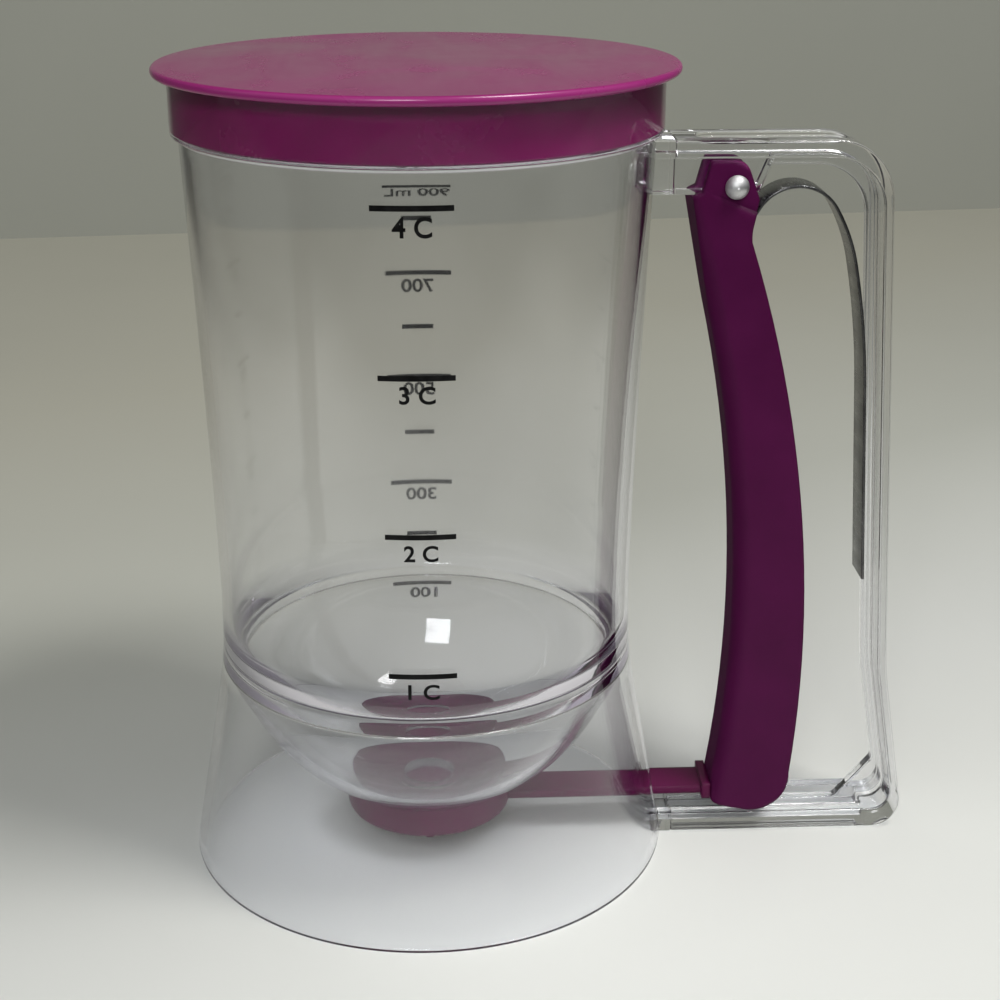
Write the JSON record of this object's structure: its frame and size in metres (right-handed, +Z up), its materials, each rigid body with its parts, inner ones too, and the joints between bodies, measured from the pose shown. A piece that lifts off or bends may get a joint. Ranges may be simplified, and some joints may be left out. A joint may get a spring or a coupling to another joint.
{
  "type": "pancake batter dispenser",
  "caption": "Clear measuring jug with a bowl-shaped bottom, a flared foot, a lift-off lid and a handle whose squeeze lever swings a shutter cup away from the outlet.",
  "frame": {"origin": "centre of the round foot, on the surface that the jug stands on", "axes": "+Z up along the jug's axis, +X from the jug towards its handle, +Y by the right-hand rule"},
  "size_m": [0.1767, 0.1166, 0.1901],
  "materials": {
    "clear_plastic": "clear polished moulded plastic",
    "purple_plastic": "satin moulded polypropylene",
    "dark_purple_plastic": "satin moulded polypropylene",
    "steel": "bright rolled steel"
  },
  "bodies": {
    "jug": {"jug_body": "clear_plastic", "handle_frame": "clear_plastic", "pivot_pin": "steel", "leaf_spring": "steel"},
    "lever": {"lever": "dark_purple_plastic", "valve_arm": "purple_plastic"},
    "lid": {"lid": "purple_plastic"}
  },
  "joints": [
    {"name": "lever_squeeze", "type": "hinge", "parent": "jug", "child": "lever", "pos_m": [0.0702, 0, 0.163], "axis": [0, -1, 0], "range_deg": [0, 8], "stiffness_Nm_per_rad": 2, "springref_deg": -8.59, "deforming": ["leaf_spring"]},
    {"name": "lid_lift", "type": "slide", "parent": "jug", "child": "lid", "axis": [0, 0, 1], "range_m": [0, 0.06]}
  ]
}
